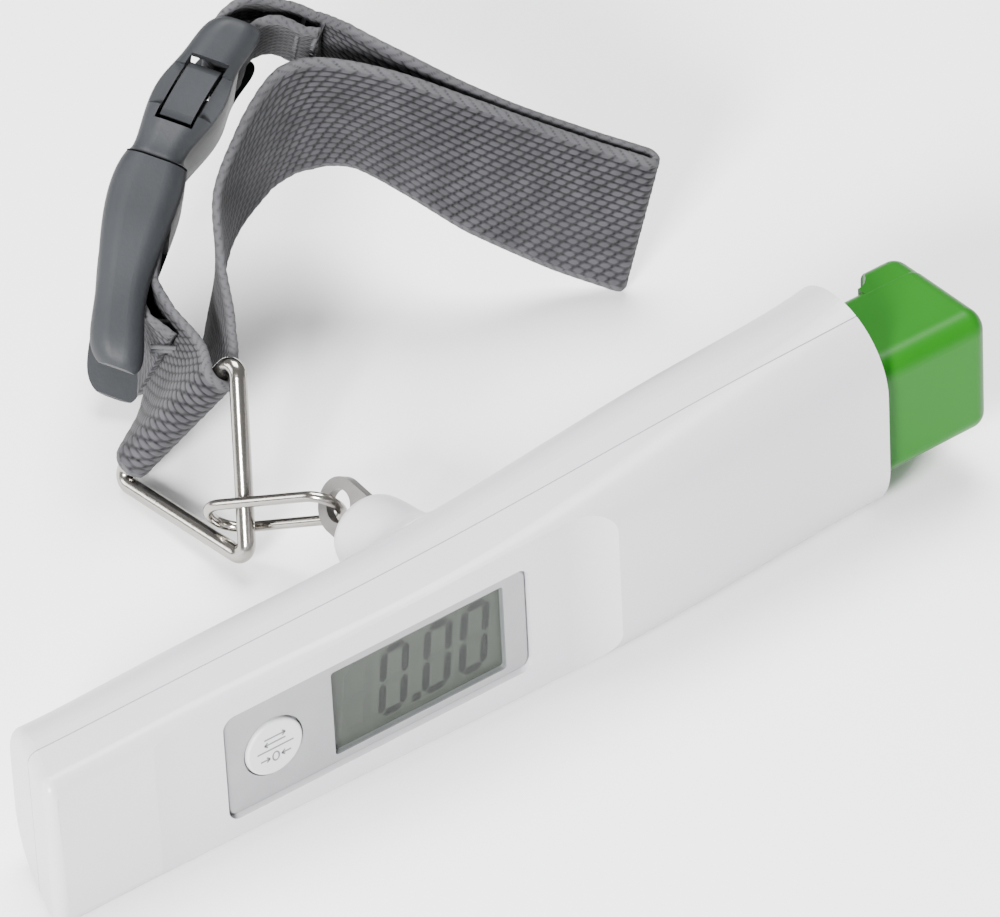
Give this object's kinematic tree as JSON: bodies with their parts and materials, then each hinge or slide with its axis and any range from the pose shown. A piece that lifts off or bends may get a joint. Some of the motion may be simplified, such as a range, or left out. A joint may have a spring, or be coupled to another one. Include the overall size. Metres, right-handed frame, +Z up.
{
  "type": "digital luggage scale",
  "caption": "Hand-held luggage scale with a display, a push knob that charges it, and a webbing strap with a side-release buckle on two metal rings.",
  "frame": {"origin": "middle of the whole object's footprint, on the table it lies on", "axes": "+X along the housing towards the push knob, +Y from the display face to the eye on the back, +Z up from the table"},
  "size_m": [0.167, 0.1159, 0.0578],
  "materials": {
    "white_shell": "satin",
    "green_knob": "satin",
    "silver_panel": "satin",
    "clear_pane": "gloss",
    "lcd": "gloss",
    "button_white": "satin",
    "board_green": "satin",
    "black_part": "matte",
    "cap_sleeve": "gloss",
    "contact_rubber": "matte",
    "beam_alloy": "machined",
    "gauge_foil": "satin",
    "steel_screw": "satin",
    "eye_steel": "satin",
    "ring_nickel": "polished",
    "webbing_grey": "woven",
    "thread_grey": "twisted",
    "buckle_plastic": "satin",
    "gear_resin": "satin",
    "frame_resin": "matte",
    "magnet": "satin",
    "copper": "satin",
    "stator_steel": "satin",
    "wire_red": "satin"
  },
  "bodies": {
    "housing": {"front_shell": "white_shell", "rear_shell": "white_shell", "shell_screws": "steel_screw", "display_bezel": "silver_panel", "display_window": "clear_pane", "lcd_glass": "lcd", "lcd_zebra_strips": "contact_rubber", "main_pcb": "board_green", "board_parts": "black_part", "storage_capacitor": "cap_sleeve", "tact_switch": "black_part", "load_cell_beam": "beam_alloy", "strain_gauges": "gauge_foil", "load_cell_screws": "steel_screw", "thrust_washer": "steel_screw", "generator_stator": "stator_steel", "generator_coil": "copper", "gear_frame": "frame_resin", "gear_axles": "steel_screw", "return_spring": "steel_screw", "wire_leads": "wire_red"},
    "pump": {"pump_knob": "green_knob", "pump_rack": "gear_resin", "rack_pin": "steel_screw"},
    "drive": {"drive_gear": "gear_resin"},
    "idler": {"idler_gear": "gear_resin"},
    "rotor": {"generator_rotor": "magnet"},
    "button": {"tare_button": "button_white", "tact_plunger": "black_part"},
    "eye": {"eye_bolt": "eye_steel", "eye_nut": "steel_screw"},
    "link": {"link_ring": "ring_nickel"},
    "ring": {"triangle_ring": "ring_nickel"},
    "strap": {"strap_webbing": "webbing_grey", "strap_stitching": "thread_grey", "buckle_plug": "buckle_plastic", "buckle_socket": "buckle_plastic"},
    "prong_upper": {"buckle_prong_upper": "buckle_plastic"},
    "prong_lower": {"buckle_prong_lower": "buckle_plastic"}
  },
  "joints": [
    {"name": "pump_slide", "type": "slide", "parent": "housing", "child": "pump", "axis": [-0.9996, 0, -0.0291], "range_m": [0, 0.0095], "stiffness_N_per_m": 60, "springref_m": -0.01, "deforming": ["return_spring"]},
    {"name": "drive_spin", "type": "hinge", "parent": "housing", "child": "drive", "pos_m": [0.03135, -0.04494, 0.01336], "axis": [0, 1, 0], "range_deg": [-140, 20]},
    {"name": "idler_spin", "type": "hinge", "parent": "housing", "child": "idler", "pos_m": [0.02018, -0.04494, 0.01064], "axis": [0, 1, 0], "range_deg": [-20, 480]},
    {"name": "rotor_spin", "type": "hinge", "parent": "housing", "child": "rotor", "pos_m": [0.01298, -0.04494, 0.01043], "axis": [0, 1, 0], "range_deg": [-1200, 60]},
    {"name": "tare_press", "type": "slide", "parent": "housing", "child": "button", "axis": [0, 1, 0], "range_m": [0, 0.0004], "stiffness_N_per_m": 400, "springref_m": -0.001},
    {"name": "eye_swivel", "type": "hinge", "parent": "housing", "child": "eye", "pos_m": [-0.00814, -0.03594, 0.01601], "axis": [0, 1, 0], "continuous": true},
    {"name": "link_swing", "type": "hinge", "parent": "eye", "child": "link", "pos_m": [-0.00814, -0.01944, 0.01601], "axis": [0.8802, 0, -0.4745], "range_deg": [-8, 8]},
    {"name": "ring_swing", "type": "hinge", "parent": "link", "child": "ring", "pos_m": [-0.01839, -0.00143, 0.00691], "axis": [0.5619, -0.0973, -0.8215], "range_deg": [-8, 8]},
    {"name": "strap_swing", "type": "hinge", "parent": "ring", "child": "strap", "pos_m": [-0.01467, 0.01329, 0.01434], "axis": [0.3849, -0.4445, 0.8088], "range_deg": [-10, 10]},
    {"name": "prong_upper_press", "type": "hinge", "parent": "strap", "child": "prong_upper", "pos_m": [-0.00336, 0.0349, 0.03959], "axis": [-0.6372, 0.7215, 0.2709], "range_deg": [0, 6.5], "stiffness_Nm_per_rad": 0.05, "springref_deg": -2.86},
    {"name": "prong_lower_press", "type": "hinge", "parent": "strap", "child": "prong_lower", "pos_m": [0.00355, 0.04685, 0.02403], "axis": [0.6372, -0.7215, -0.2709], "range_deg": [0, 6.5], "stiffness_Nm_per_rad": 0.05, "springref_deg": -2.86}
  ],
  "couplings": [
    {"joint": "drive_spin", "follows": "pump_slide", "rad_per_m": -208.33},
    {"joint": "idler_spin", "follows": "pump_slide", "rad_per_m": 750},
    {"joint": "rotor_spin", "follows": "pump_slide", "rad_per_m": -1950},
    {"joint": "prong_lower_press", "follows": "prong_upper_press", "ratio": 1}
  ]
}
